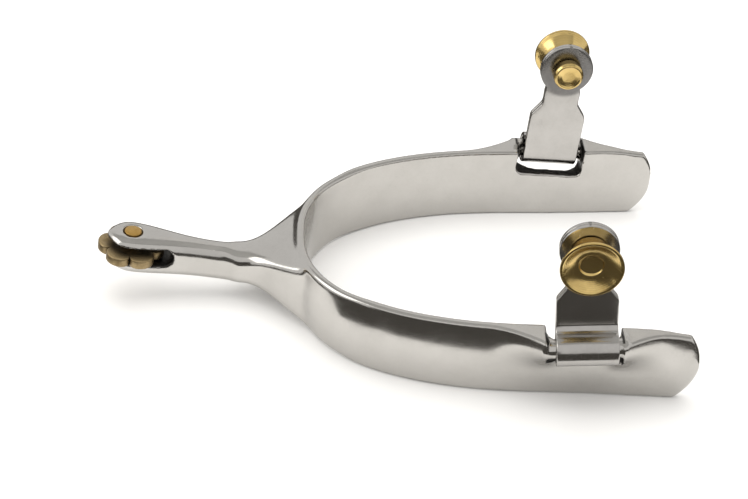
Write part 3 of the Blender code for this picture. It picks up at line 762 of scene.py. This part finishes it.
def wave(obj):
    """Leave the slight hollows and swells of hand polishing in the surface."""
    normals = [Vector(item.vector) for item in obj.data.vertex_normals]
    for vertex, normal in zip(obj.data.vertices, normals):
        place = vertex.co / (MM * WAVE_LENGTH)
        swell = noise.noise(place) + RIPPLE_SHARE * noise.noise(place * RIPPLE_RATE + RIPPLE_OFFSET)
        vertex.co += normal * swell * WAVE_HEIGHT * MM


def in_slot(p):
    """Whether a point, in a hinge's frame, lies on the slot's floor or walls, where shade is painted."""
    floor = SLOT_FLOOR_Z - BAR_Z
    if p.y < -SLOT_INNER_REACH or not -SLOT_HEEL_HALF - SLOT_SHADE_SKIN < p.x < SLOT_TOE_HALF + SLOT_SHADE_SKIN:
        return False
    if p.z < floor - SLOT_SHADE_SKIN or abs(p.y) > BAR_OUT - 1.2 * SLOT_SHADE_SKIN and p.y < 0.0:
        return False
    on_floor = p.z < floor + 2.0 * SLOT_SHADE_SKIN and p.y < 0.0
    on_wall = p.x < SLOT_SHADE_SKIN - SLOT_HEEL_HALF or p.x > SLOT_TOE_HALF - SLOT_SHADE_SKIN
    return on_floor or on_wall and p.y < 0.5 * BAR_RADIUS


def in_fork(p):
    """Whether a point, in the fork's frame, lies on the inside of the rowel's slot."""
    half = FORK_SLOT_HEIGHT / 2.0
    z = p.z - FORK_SLOT_RISE
    past = max(p.x - FORK_SLOT_REACH, 0.0)
    return abs(math.hypot(past, z) - half) < SLOT_SHADE_SKIN and p.x < FORK_SLOT_REACH + half + SLOT_SHADE_SKIN


def store_shade_and_darkening(obj, values):
    attribute = obj.data.attributes.new("shade_and_darkening", 'FLOAT', 'POINT')
    attribute.data.foreach_set("value", values)


def mark_painted_shade(obj):
    """Find which points get painted shade, in the hinge slots and inside the fork, for the steel's material.
    """
    frames = [hinge_matrix(side_name).inverted() for side_name in SIDES]
    fork = fork_frame(False).inverted()
    values = []
    for vertex in obj.data.vertices:
        inside = in_fork((fork @ vertex.co) / MM) or any(in_slot((f @ vertex.co) / MM) for f in frames)
        values.append(1.0 if inside else 0.0)
    store_shade_and_darkening(obj, values)


def make_heel_band():
    """The whole steel casting, fused by a fine remesh and then polished soft."""
    steel = make_band()
    hinges = [design_matrix(hinge_matrix(side_name)) for side_name in SIDES]
    for hinge in hinges:
        combine(steel, slot_cutter(hinge), 'DIFFERENCE')
    bars = [bar_solid(hinge) for hinge in hinges]
    shank = make_shank()
    combine(shank, fork_slot(design_matrix(fork_frame(False))), 'DIFFERENCE')
    hole = hole_cutter("pin_hole", PIN_RADIUS + GAP, BORE_STEPS, design_matrix(fork_frame(True)))
    combine(shank, hole, 'DIFFERENCE')
    join(steel, bars + [shank])
    remesh = steel.modifiers.new("remesh", 'REMESH')
    remesh.mode = 'VOXEL'
    remesh.voxel_size = VOXEL * MM
    apply_modifiers(steel)
    steel.data.transform(Matrix.Translation((SHIFT_X * MM, 0.0, 0.0)))
    soften(steel, POLISH_STEPS)
    soften(steel, FILLET_STEPS, shank_root_weight)
    # Painted shade in the hinge slots and inside the fork's slot.
    mark_painted_shade(steel)
    wave(steel)
    steel.data.shade_smooth()
    return steel


# ---------------------------------------------------------------- rowel and pin

def rowel_darkening(p):
    """How much darker a point of the rowel is painted: clean at the lobes' ends, darker towards the notches
    and pin.
    """
    return ROWEL_DARK_DEPTH * smooth((ROWEL_RADIUS - ROWEL_DARK_EDGE - math.hypot(p.x, p.y)) / ROWEL_DARK_RUN)


def make_rowel():
    """A flat wheel of rounded lobes with narrow round notches, lying in the fork."""
    count = ROWEL_LOBES * LOBE_STEPS
    outline = []
    for i in range(count):
        angle = 2.0 * math.pi * i / count
        fullness = abs(math.cos(ROWEL_LOBES * angle / 2.0)) ** LOBE_FULLNESS
        outline.append((-math.cos(angle), math.sin(angle), mix(ROWEL_ROOT_RADIUS, ROWEL_RADIUS, fullness)))
    half = ROWEL_THICKNESS / 2.0
    bevel = []
    for i in range(ROWEL_BEVEL_STEPS + 1):
        angle = math.pi / 2.0 * i / ROWEL_BEVEL_STEPS
        bevel.append((half - ROWEL_BEVEL * (1.0 - math.sin(angle)), ROWEL_BEVEL * (1.0 - math.cos(angle))))
    levels = [(-z, inset) for z, inset in reversed(bevel)] + bevel
    rings = []
    for z, inset in levels:
        rings.append([(x * (r - inset), y * (r - inset), z - ROWEL_DROP) for x, y, r in outline])
    rowel = loft("rowel_wheel", rings, fork_frame(False))
    bore = hole_cutter("rowel_bore", PIN_RADIUS + GAP, BORE_STEPS, fork_frame(True))
    combine(rowel, bore, 'DIFFERENCE')
    finish_edges(rowel, ROWEL_BORE_EDGE)
    # The rowel is painted darker towards the notches and pin.
    store_shade_and_darkening(rowel, [rowel_darkening(vertex.co / MM) for vertex in rowel.data.vertices])
    return rowel


def make_pin():
    """The rowel pin, filed flush with the fork above and below, with rounded rims."""
    half = FORK_HEIGHT / 2.0 + FORK_CROWN - PIN_SINK
    rim = []
    for i in range(1, PIN_BEVEL_STEPS + 1):
        angle = math.pi / 2.0 * i / PIN_BEVEL_STEPS
        radius = PIN_RADIUS - PIN_BEVEL * (1.0 - math.sin(angle))
        rim.append((radius, half - PIN_BEVEL * (1.0 - math.cos(angle))))
    profile = [(0.0, -half)] + [(radius, -y) for radius, y in rim]
    profile += [(PIN_RADIUS, y) for y in PIN_LEVELS] + rim[::-1] + [(0.0, half)]
    return turn("rowel_pin_metal", profile, PIN_STEPS, fork_frame(True))


# ---------------------------------------------------------------- hangers

def hermite(a, pull_a, b, pull_b, t):
    """A point of the cubic that leaves a along pull_a and reaches b along pull_b."""
    from_a = a * (2.0 * t ** 3 - 3.0 * t ** 2 + 1.0) + pull_a * (t ** 3 - 2.0 * t ** 2 + t)
    to_b = b * (3.0 * t ** 2 - 2.0 * t ** 3) + pull_b * (t ** 3 - t ** 2)
    return from_a + to_b


def strap_path():
    """The folded strap's middle line as (out, z, half width): down one layer, round the bar, up again."""
    radius = LOOP_RADIUS - STRAP_THICKNESS / 2.0
    front = -LOOP_RADIUS + 1.5 * STRAP_THICKNESS
    half = HANGER_WIDTH / 2.0
    outline = flat_outline()
    path = [(-radius, z, width) for z, width in outline]
    path += [(-radius, z, half) for z in LAYER_LEVELS]
    last = 2.0 * math.pi + math.radians(FOLD_END_ANGLE)
    for i in range(FOLD_STEPS + 1):
        angle = mix(math.pi, last, i / FOLD_STEPS)
        path.append((radius * math.cos(angle), radius * math.sin(angle), half))
    fold_end = Vector((radius * math.cos(last), radius * math.sin(last)))
    fold_pull = Vector((-math.sin(last), math.cos(last))) * RETURN_PULL[0]
    layer_start = Vector((front, LOOP_RADIUS + RETURN_RISE))
    layer_pull = Vector((0.0, RETURN_PULL[1]))
    for i in range(1, RETURN_STEPS + 1):
        p = hermite(fold_end, fold_pull, layer_start, layer_pull, i / RETURN_STEPS)
        path.append((p.x, p.y, half))
    path += [(front, z, half) for z in RETURN_LEVELS]
    path += [(front, z, width) for z, width in reversed(outline)]
    return path


def flat_outline():
    """The strap's half width from the eye's top down to below its shoulders, as (z, half width)."""
    points = []
    start = -math.asin((EYE_Z - NECK_HIGH_Z - EYE_START_DROP) / EYE_RADIUS)
    for i in range(EYE_STEPS + 1):
        angle = mix(EYE_TOP_ANGLE, start, i / EYE_STEPS)
        points.append((EYE_Z + EYE_RADIUS * math.sin(angle), EYE_RADIUS * math.cos(angle)))
    half = HANGER_WIDTH / 2.0
    neck = [points[-1], (NECK_HIGH_Z, NECK_HALF_WIDTH + NECK_TOP_EASE)]
    neck.append((0.5 * (NECK_LOW_Z + NECK_HIGH_Z), NECK_HALF_WIDTH))
    neck.append((NECK_LOW_Z + NECK_LOW_EASE[0], NECK_HALF_WIDTH + NECK_LOW_EASE[1]))
    neck.append((SHOULDER_Z + SHOULDER_RISE, half - SHOULDER_EASE))
    neck.append((SHOULDER_Z - SHOULDER_RISE, half))
    return points[:-1] + rounded(neck, OUTLINE_ROUND, OUTLINE_STEPS)


def eye_knob_shade(p):
    """How much painted shade round the rivet knob darkens a point of the eye's inner face, in the hanger's
    frame.
    """
    if p.y > KNOB_SHADE_SKIN - LOOP_RADIUS:
        return 0.0
    return 1.0 - smooth((math.hypot(p.x, p.z - EYE_Z) - EYE_RADIUS - KNOB_SHADE_EDGE) / KNOB_SHADE_RUN)


def strap_section(width, half):
    """The strip's section as (across, through) points: a flat rectangle with rolled edges."""
    corner = min(STRAP_EDGE_ROUND, CORNER_LIMIT * width)
    section = []
    for cx, cy, quarter in ((1, 1, 0), (-1, 1, 1), (-1, -1, 2), (1, -1, 3)):
        for k in range(STRAP_CORNER_STEPS + 1):
            angle = math.pi / 2.0 * (quarter + k / STRAP_CORNER_STEPS)
            x = cx * (width - corner) + corner * math.cos(angle)
            section.append((x, cy * (half - corner) + corner * math.sin(angle)))
        if cy == cx:
            for k in range(1, STRAP_FACE_STEPS):
                section.append((cx * (width - corner) * (1.0 - 2.0 * k / STRAP_FACE_STEPS), cy * half))
    return section


def make_hanger(side_name):
    """One strip, folded double round the bar, with rolled edges and a hole for the button's post."""
    path = strap_path()
    half = (STRAP_THICKNESS - LAYER_SEAM) / 2.0
    rings = []
    for i, (out, z, width) in enumerate(path):
        before = path[max(i - 1, 0)]
        after = path[min(i + 1, len(path) - 1)]
        along = Vector((after[0] - before[0], after[1] - before[1])).normalized()
        normal = Vector((along.y, -along.x))
        rings.append([(x, out + normal.x * y, z + normal.y * y) for x, y in strap_section(width, half)])
    hanger = loft(side_name + "_hanger_strap", rings, hanger_matrix(side_name))
    hole = hole_cutter("eye_hole", POST_HOLE_RADIUS, EYE_HOLE_STEPS, hanger_matrix(side_name, EYE_Z))
    combine(hanger, hole, 'DIFFERENCE')
    # Painted shade round the rivet knob on the eye's inner face.
    store_shade_and_darkening(hanger, [eye_knob_shade(vertex.co / MM) for vertex in hanger.data.vertices])
    return hanger


# ---------------------------------------------------------------- buttons

def make_button(side_name):
    """The strap button: dished head, flared neck, and the post that goes through the eye."""
    face = HEAD_OUT - LOOP_RADIUS
    seat = -LOOP_RADIUS + 2.0 * STRAP_THICKNESS + GAP
    post_end = -LOOP_RADIUS - KNOB_BORE_DEPTH
    corners = [(0.0, post_end), (POST_RADIUS, post_end), (POST_RADIUS, seat), (NECK_RADIUS, seat)]
    rim_back = face - RIM_THICKNESS
    for i in range(1, NECK_FLARE_STEPS + 1):
        t = i / NECK_FLARE_STEPS
        share = NECK_FLARE_SHARES[0] * t + NECK_FLARE_SHARES[1] * t ** 3
        corners.append((mix(NECK_RADIUS, HEAD_RADIUS, share), mix(seat, rim_back, t)))
    corners += [(HEAD_RADIUS, face - RIM_EASE[1]), (HEAD_RADIUS - RIM_EASE[0], face)]
    dish_floor = face - DISH_DEPTH
    for i in range(1, DISH_STEPS + 1):
        t = i / DISH_STEPS
        radius = mix(HEAD_RADIUS - RIM_WIDTH, RECESS_RADIUS, t)
        corners.append((radius, mix(face, dish_floor, math.sin(t * math.pi / 2.0))))
    recess_floor = dish_floor - RECESS_DEPTH
    corners += [(RECESS_RADIUS - RECESS_TAPER, recess_floor), (0.0, recess_floor - RECESS_CROWN)]
    profile = rounded(corners, BUTTON_ROUND)
    return turn(side_name + "_button_brass", profile, BUTTON_STEPS, hanger_matrix(side_name, EYE_Z))


def make_knob(side_name):
    """The rivet knob inside the hanger, with a blind bore that takes the post's end."""
    seat = -LOOP_RADIUS - GAP
    face = seat - KNOB_HEIGHT
    bore_floor = -LOOP_RADIUS - KNOB_BORE_DEPTH - GAP
    dish_floor = face + KNOB_DISH_DEPTH
    corners = [(0.0, dish_floor + KNOB_DISH_SAG), (KNOB_DISH_FLOOR_SHARE * KNOB_DISH_RADIUS, dish_floor)]
    corners += [(KNOB_DISH_RADIUS + out, face + rise) for out, rise in KNOB_DISH_LIP]
    corners += [(KNOB_RADIUS - ease, face + rise) for ease, rise in KNOB_FRONT_EASE]
    corners += [(KNOB_RADIUS - ease, seat - drop) for ease, drop in KNOB_BACK_EASE]
    corners += [(POST_HOLE_RADIUS, seat), (POST_HOLE_RADIUS, bore_floor), (0.0, bore_floor)]
    profile = rounded(corners, KNOB_ROUND)
    return turn(side_name + "_rivet_knob_brass", profile, KNOB_STEPS, hanger_matrix(side_name, EYE_Z))


def finish_edges(obj, width):
    """Bevel the sharp edges a little and keep flat faces flat in shading."""
    bevel = obj.modifiers.new("bevel", 'BEVEL')
    bevel.width = width * MM
    bevel.segments = 2
    bevel.limit_method = 'ANGLE'
    bevel.angle_limit = math.radians(BEVEL_ANGLE)
    apply_modifiers(obj)
    obj.data.shade_smooth()
    obj.data.set_sharp_from_angle(angle=math.radians(SHARP_ANGLE))


# ---------------------------------------------------------------- materials

class Tree:
    """A small helper that builds one material's nodes."""

    def __init__(self, name):
        self.material = bpy.data.materials.new(name)
        self.material.use_nodes = True
        self.nodes = self.material.node_tree.nodes
        self.links = self.material.node_tree.links
        self.shader = self.nodes["Principled BSDF"]
        self.place = self.add("ShaderNodeTexCoord").outputs["Object"]

    def add(self, kind, inputs=None, **settings):
        """Add a node; an input may be a value or another node's output."""
        node = self.nodes.new(kind)
        for key, value in settings.items():
            setattr(node, key, value)
        for key, value in (inputs or {}).items():
            if isinstance(value, bpy.types.NodeSocket):
                self.links.new(value, node.inputs[key])
            else:
                node.inputs[key].default_value = value
        return node

    def noise(self, scale, detail=2.0, stretch=None, roughness=0.5, distortion=0.0):
        """Noise of features about 1/scale metres across, stretched by a scale for each axis if given."""
        where = self.place
        if stretch is not None:
            where = self.add("ShaderNodeMapping", {"Vector": where, "Scale": stretch}).outputs[0]
        facts = {"Vector": where, "Scale": scale, "Detail": detail}
        facts.update({"Roughness": roughness, "Distortion": distortion})
        return self.add("ShaderNodeTexNoise", facts).outputs["Fac"]

    def remap(self, value, band, result=(0.0, 1.0)):
        """Carry a band of values over to the result's range, and clamp what lies outside it."""
        facts = {"Value": value, "From Min": band[0], "From Max": band[1]}
        facts.update({"To Min": result[0], "To Max": result[1]})
        return self.add("ShaderNodeMapRange", facts).outputs[0]

    def math(self, operation, a, b):
        return self.add("ShaderNodeMath", {0: a, 1: b}, operation=operation).outputs[0]

    def add_share(self, value, other, share):
        return self.math('ADD', value, self.math('MULTIPLY', other, share))

    def blend(self, factor, a, b):
        """Mix colour a into colour b by factor."""
        return self.add("ShaderNodeMix", {0: factor, 6: a, 7: b}, data_type='RGBA').outputs[2]

    def bump(self, height, distance, normal=None):
        facts = {"Height": height, "Distance": distance, "Strength": 1.0}
        if normal is not None:
            facts["Normal"] = normal
        return self.add("ShaderNodeBump", facts).outputs[0]

    def finish(self, color, roughness, normal):
        self.links.new(color, self.shader.inputs["Base Color"])
        self.links.new(roughness, self.shader.inputs["Roughness"])
        self.links.new(normal, self.shader.inputs["Normal"])
        self.shader.inputs["Metallic"].default_value = 1.0
        return self.material


def metal(name, light, dark, gloss_range, wave, wave_scale, scratch_along, scratch_depth, mottle_scale,
          shade_and_dark_tone, shade_and_dark_rough):
    """A worn polished metal: cloudy colour, uneven gloss, slight waves, and fine scratches two ways."""
    tree = Tree(name)
    clouds = tree.noise(mottle_scale, 4.0, roughness=0.6)
    fine = tree.noise(mottle_scale * GRAIN_RATE, 3.0)
    scratches = tree.noise(1.0, 3.0, stretch=scratch_along, roughness=0.7)
    turned = (scratch_along[1], scratch_along[2], scratch_along[0])
    cross = tree.noise(0.8, 3.0, stretch=turned, roughness=0.7, distortion=0.3)
    hairs = tree.math('MAXIMUM', tree.remap(scratches, HAIR_BAND), tree.remap(cross, CROSS_BAND, CROSS_RANGE))
    tint = tree.remap(tree.add_share(clouds, fine, GRAIN_TINT), TINT_BAND)
    color = tree.blend(tint, light, dark)
    gloss = tree.remap(clouds, CLOUD_BAND, gloss_range)
    gloss = tree.add_share(gloss, hairs, HAIR_ROUGH)
    gloss = tree.math('ADD', gloss, tree.remap(fine, GRAIN_BAND, GRAIN_ROUGH_RANGE))
    # Painted shade: a per-point share blends the dark tone into the colour, in the band's slots and round the
    # rivet knob; on the rowel it darkens towards the middle.
    shade_and_darkening = tree.add("ShaderNodeAttribute", attribute_name="shade_and_darkening").outputs["Fac"]
    cover = tree.math('MULTIPLY', shade_and_darkening, tree.remap(fine, SHADE_MOTTLE_BAND, SHADE_MOTTLE_RANGE))
    color = tree.blend(cover, color, shade_and_dark_tone)
    gloss = tree.add_share(gloss, shade_and_darkening, shade_and_dark_rough)
    waves = tree.bump(tree.noise(wave_scale, 1.0), wave)
    marks = tree.bump(tree.math('MULTIPLY', hairs, -1.0), scratch_depth, waves)
    grain = tree.bump(fine, scratch_depth * GRAIN_DEPTH_SHARE, marks)
    return tree.finish(color, gloss, grain)


def turned_brass(name, light, dark, gloss_range, rings_per_mm, ring_depth):
    """Turned brass: lathe rings about the piece's own Y axis over cloudy tarnish and wear."""
    tree = Tree(name)
    clouds = tree.noise(TARNISH_SCALE, 5.0, roughness=0.62)
    fine = tree.noise(BRASS_GRAIN_SCALE, 3.0)
    split = tree.add("ShaderNodeSeparateXYZ", {0: tree.place})
    x_squared = tree.math('MULTIPLY', split.outputs[0], split.outputs[0])
    z_squared = tree.math('MULTIPLY', split.outputs[2], split.outputs[2])
    radius = tree.math('SQRT', tree.math('ADD', x_squared, z_squared), 0.0)
    wandering = tree.add_share(radius, clouds, LATHE_JITTER)
    phase = tree.math('MULTIPLY', wandering, rings_per_mm * 2.0 * math.pi / MM)
    lathe = tree.remap(tree.math('SINE', phase, 0.0), (-1.0, 1.0))
    scratches = tree.noise(1.0, 3.0, stretch=BRASS_SCRATCHES, roughness=0.7, distortion=0.4)
    hairs = tree.remap(scratches, HAIR_BAND)
    tint = tree.remap(tree.add_share(clouds, lathe, LATHE_TINT), BRASS_TINT_BAND)
    color = tree.blend(tint, light, dark)
    gloss = tree.remap(clouds, CLOUD_BAND, gloss_range)
    gloss = tree.add_share(gloss, hairs, HAIR_ROUGH)
    rings = tree.bump(lathe, ring_depth)
    marks = tree.bump(tree.math('MULTIPLY', hairs, -1.0), ring_depth, rings)
    grain = tree.bump(fine, ring_depth, marks)
    return tree.finish(color, gloss, grain)


# ---------------------------------------------------------------- stage, lights and camera

def flat_material(name, color, glow=0.0):
    material = bpy.data.materials.new(name)
    material.use_nodes = True
    shader = material.node_tree.nodes["Principled BSDF"]
    shader.inputs["Base Color"].default_value = color
    shader.inputs["Roughness"].default_value = 0.9
    shader.inputs["Specular IOR Level"].default_value = 0.0
    shader.inputs["Emission Color"].default_value = color
    shader.inputs["Emission Strength"].default_value = glow
    return material


def flat_sheet(name, corners, material):
    """One flat face, given by its corners in metres."""
    mesh = bpy.data.meshes.new(name)
    mesh.from_pydata(corners, [], [tuple(range(len(corners)))])
    mesh.materials.append(material)
    obj = bpy.data.objects.new(name, mesh)
    bpy.context.scene.collection.objects.link(obj)
    return obj


def card(name, corners, color, glow):
    """A sheet that only glossy rays see, so it shows in the polished metal and nowhere else."""
    obj = flat_sheet(name, corners, flat_material(name, color, glow))
    obj.visible_camera = False
    obj.visible_diffuse = False
    obj.visible_shadow = False


def make_floor_and_sky():
    edge = FLOOR_HALF
    corners = [(-edge, -edge, 0.0), (edge, -edge, 0.0), (edge, edge, 0.0), (-edge, edge, 0.0)]
    floor = flat_sheet("floor", corners, flat_material("floor_paper", PAPER))
    floor.location.z = CAD_BOX[0][2] - FLOOR_DROP
    world = bpy.data.worlds.new("studio")
    world.use_nodes = True
    world.node_tree.nodes["Background"].inputs["Color"].default_value = SKY
    world.node_tree.nodes["Background"].inputs["Strength"].default_value = SKY_STRENGTH
    bpy.context.scene.world = world


def make_cards():
    """The dark mats round the spur and the grey cards above and behind it that the steel mirrors."""
    far_edge = tuple((x, -y) for x, y in MAT_EDGE)
    far_corners = tuple((x, -y) for x, y in MAT_CORNERS)
    mats = (("dark_mat", MAT_CORNERS + MAT_EDGE), ("dark_far_mat", far_corners + far_edge),
            ("dark_rear_mat", REAR_MAT), ("dark_toe_mat", TOE_MAT))
    for name, outline in mats:
        card(name, [(x, y, MAT_RISE) for x, y in outline], DARK_CARD, DARK_GLOW)
    card("dark_back", [(x, BACK_WALL_Y, z) for x, z in BACK_WALL], DARK_CARD, DARK_GLOW)
    card("dark_front", [(x, FRONT_WALL_Y, z) for x, z in FRONT_WALL], DARK_CARD, DARK_GLOW)
    card("grey_ceiling", [(x, y, CEILING_Z) for x, y in CEILING], CEILING_CARD, CEILING_GLOW)
    card("grey_back", [(x, GREY_BACK_Y, z) for x, z in GREY_BACK], BACK_CARD, BACK_GLOW)


def softbox(name, place, size, power):
    """A square area light that faces the spur."""
    light = bpy.data.lights.new(name, 'AREA')
    light.shape = 'RECTANGLE'
    light.size = size
    light.size_y = size
    light.energy = power
    light.color = SOFTBOX_COLOR
    obj = bpy.data.objects.new(name, light)
    bpy.context.scene.collection.objects.link(obj)
    obj.rotation_euler = (-Vector(place)).to_track_quat('-Z', 'Y').to_euler()
    obj.location = place


def make_camera():
    """The main view: from the wearer's right and above, with a slight roll."""
    azimuth = math.radians(CAMERA_AZIMUTH)
    elevation = math.radians(CAMERA_ELEVATION)
    roll = math.radians(CAMERA_ROLL)
    level = Vector((math.sin(azimuth), -math.cos(azimuth), 0.0))
    back = level * math.cos(elevation) + Vector((0.0, 0.0, math.sin(elevation)))
    right = Vector((math.cos(azimuth), math.sin(azimuth), 0.0))
    up = back.cross(right)
    turned_right = right * math.cos(roll) + up * math.sin(roll)
    turned_up = up * math.cos(roll) - right * math.sin(roll)
    data = bpy.data.cameras.new("camera")
    data.sensor_width = CAMERA_SENSOR
    data.lens = CAMERA_LENS
    data.clip_start = CAMERA_CLIP
    camera = bpy.data.objects.new("camera", data)
    bpy.context.scene.collection.objects.link(camera)
    matrix = Matrix((turned_right, turned_up, back)).transposed().to_4x4()
    aim = Vector(CAMERA_AIM) + Vector((SHIFT_X, 0.0, 0.0))
    matrix.translation = (aim + back * CAMERA_DISTANCE) * MM
    camera.matrix_world = matrix
    bpy.context.scene.camera = camera


# ---------------------------------------------------------------- assembly

def install(piece, body, node, material):
    piece.data.materials.clear()
    piece.data.materials.append(material)
    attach(piece, body)
    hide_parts(node)


def main():
    bpy.context.scene.view_settings.view_transform = 'Standard'
    steel = metal("polished_steel", **STEEL_FACTS)
    strap = metal("strap_steel", **STRAP_FACTS)
    brass = turned_brass("button_brass", **BRASS_FACTS)
    dull = metal("rowel_brass", **ROWEL_FACTS)
    copper = turned_brass("pin_copper", **PIN_FACTS)
    install(make_heel_band(), "heel", "heel_band", steel)
    install(make_pin(), "heel", "rowel_pin", copper)
    install(make_rowel(), "rowel", "rowel", dull)
    for side_name in SIDES:
        body = side_name + "_hanger"
        install(make_hanger(side_name), body, side_name + "_hanger", strap)
        install(make_button(side_name), body, side_name + "_button", brass)
        install(make_knob(side_name), body, side_name + "_rivet_knob", brass)
    make_floor_and_sky()
    make_cards()
    softbox("overhead_softbox", OVERHEAD_PLACE, OVERHEAD_SIZE, OVERHEAD_POWER)
    softbox("left_softbox", LEFT_PLACE, LEFT_SIZE, LEFT_POWER)
    make_camera()


def plain(box):
    return [[float(v) for v in corner] for corner in box]


main()
